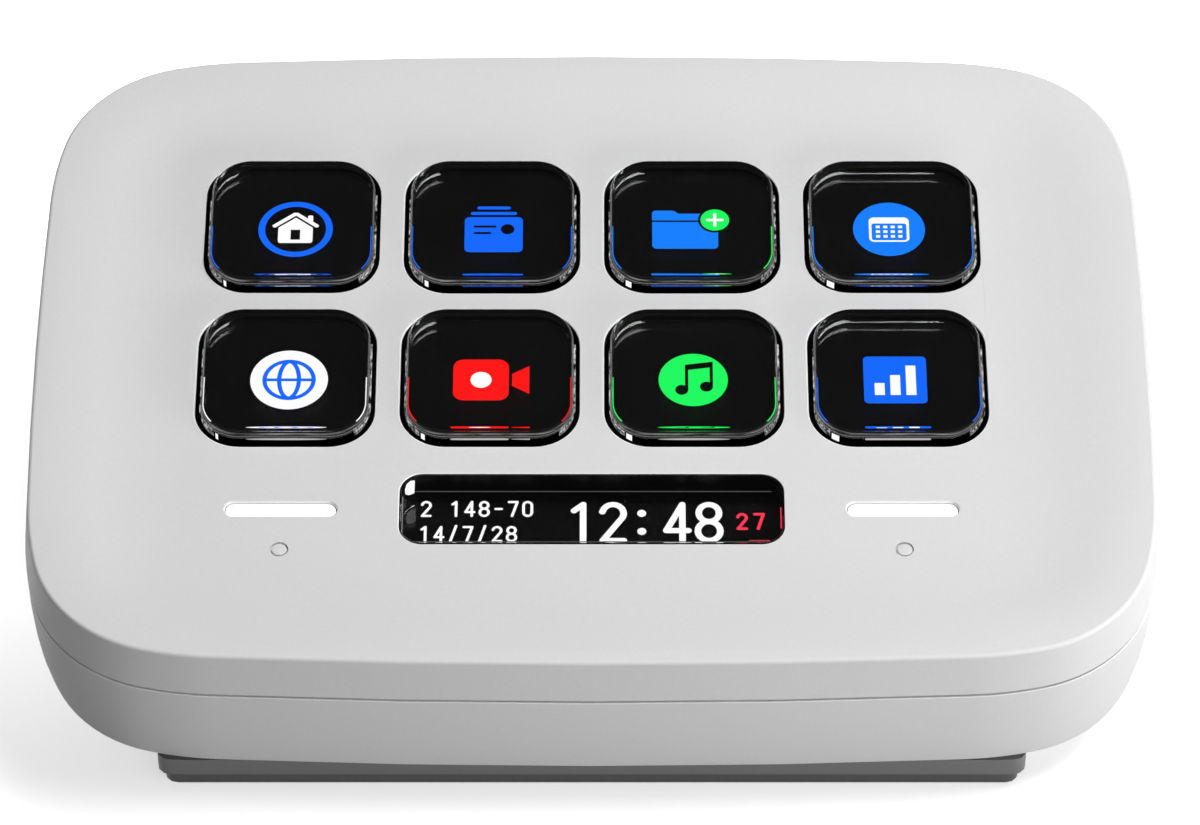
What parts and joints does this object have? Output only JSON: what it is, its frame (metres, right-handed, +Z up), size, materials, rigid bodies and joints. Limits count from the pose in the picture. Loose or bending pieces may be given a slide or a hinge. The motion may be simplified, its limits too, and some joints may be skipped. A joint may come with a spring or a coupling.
{
  "type": "macro keypad",
  "caption": "Small wedge-shaped desk keypad with clear display keys in two rows, an information window, light bars and touch points in a dished cover.",
  "frame": {"origin": "on the desk under the middle of the keypad's box, at the bottom of the rubber sole", "axes": "+X to the right along the width, +Y to the back, +Z up"},
  "size_m": [0.107, 0.078, 0.026],
  "materials": {
    "cover_plastic": "fine matt moulded texture",
    "housing_plastic": "fine matt moulded texture",
    "clear_cap": "clear, polished",
    "clear_lens": "clear, polished",
    "silicone": "matt black",
    "contact_film": "black printed film",
    "display_glass": "black glass",
    "black_plastic": "moulded black",
    "light_bar": "milky white, lit",
    "circuit_board": "green solder mask",
    "lamp": "small lamps",
    "chip_plastic": "black moulded",
    "bright_steel": "bright plated",
    "plate_steel": "zinc plated",
    "flat_cable": "amber film",
    "plinth_plastic": "matt moulded grey",
    "sole_rubber": "matt dark grey"
  },
  "bodies": {
    "body": {"top_cover": "cover_plastic", "lower_housing": "housing_plastic", "key_dome_1": "silicone", "key_dome_2": "silicone", "key_dome_3": "silicone", "key_dome_4": "silicone", "key_dome_5": "silicone", "key_dome_6": "silicone", "key_dome_7": "silicone", "key_dome_8": "silicone", "contact_film": "contact_film", "key_contacts": "chip_plastic", "key_board": "circuit_board", "stiffener_plate": "plate_steel", "info_lens": "clear_lens", "info_display": "display_glass", "display_carrier": "black_plastic", "light_bar_left": "light_bar", "light_bar_right": "light_bar", "touch_board_left": "circuit_board", "touch_board_right": "circuit_board", "bar_lamps": "lamp", "main_board": "circuit_board", "board_chips": "chip_plastic", "cable_socket": "bright_steel", "key_ribbon": "flat_cable", "touch_ribbons": "flat_cable", "ballast_plate": "plate_steel", "ballast_screws": "bright_steel", "carrier_screws": "bright_steel", "board_screws": "bright_steel", "housing_screws": "bright_steel", "plinth": "plinth_plastic", "plinth_screws": "bright_steel", "rubber_sole": "sole_rubber"},
    "key_1": {"key_cap_1": "clear_cap", "key_screen_1": "display_glass"},
    "key_2": {"key_cap_2": "clear_cap", "key_screen_2": "display_glass"},
    "key_3": {"key_cap_3": "clear_cap", "key_screen_3": "display_glass"},
    "key_4": {"key_cap_4": "clear_cap", "key_screen_4": "display_glass"},
    "key_5": {"key_cap_5": "clear_cap", "key_screen_5": "display_glass"},
    "key_6": {"key_cap_6": "clear_cap", "key_screen_6": "display_glass"},
    "key_7": {"key_cap_7": "clear_cap", "key_screen_7": "display_glass"},
    "key_8": {"key_cap_8": "clear_cap", "key_screen_8": "display_glass"}
  },
  "joints": [
    {"name": "key_1_press", "type": "slide", "parent": "body", "child": "key_1", "axis": [0, 0.0732, -0.9973], "range_m": [0, 0.0006], "stiffness_N_per_m": 600, "springref_m": -0.0004, "deforming": ["key_dome_1"]},
    {"name": "key_2_press", "type": "slide", "parent": "body", "child": "key_2", "axis": [0, 0.0732, -0.9973], "range_m": [0, 0.0006], "stiffness_N_per_m": 600, "springref_m": -0.0004, "deforming": ["key_dome_2"]},
    {"name": "key_3_press", "type": "slide", "parent": "body", "child": "key_3", "axis": [0, 0.0732, -0.9973], "range_m": [0, 0.0006], "stiffness_N_per_m": 600, "springref_m": -0.0004, "deforming": ["key_dome_3"]},
    {"name": "key_4_press", "type": "slide", "parent": "body", "child": "key_4", "axis": [0, 0.0732, -0.9973], "range_m": [0, 0.0006], "stiffness_N_per_m": 600, "springref_m": -0.0004, "deforming": ["key_dome_4"]},
    {"name": "key_5_press", "type": "slide", "parent": "body", "child": "key_5", "axis": [0, 0.0732, -0.9973], "range_m": [0, 0.0006], "stiffness_N_per_m": 600, "springref_m": -0.0004, "deforming": ["key_dome_5"]},
    {"name": "key_6_press", "type": "slide", "parent": "body", "child": "key_6", "axis": [0, 0.0732, -0.9973], "range_m": [0, 0.0006], "stiffness_N_per_m": 600, "springref_m": -0.0004, "deforming": ["key_dome_6"]},
    {"name": "key_7_press", "type": "slide", "parent": "body", "child": "key_7", "axis": [0, 0.0732, -0.9973], "range_m": [0, 0.0006], "stiffness_N_per_m": 600, "springref_m": -0.0004, "deforming": ["key_dome_7"]},
    {"name": "key_8_press", "type": "slide", "parent": "body", "child": "key_8", "axis": [0, 0.0732, -0.9973], "range_m": [0, 0.0006], "stiffness_N_per_m": 600, "springref_m": -0.0004, "deforming": ["key_dome_8"]}
  ]
}
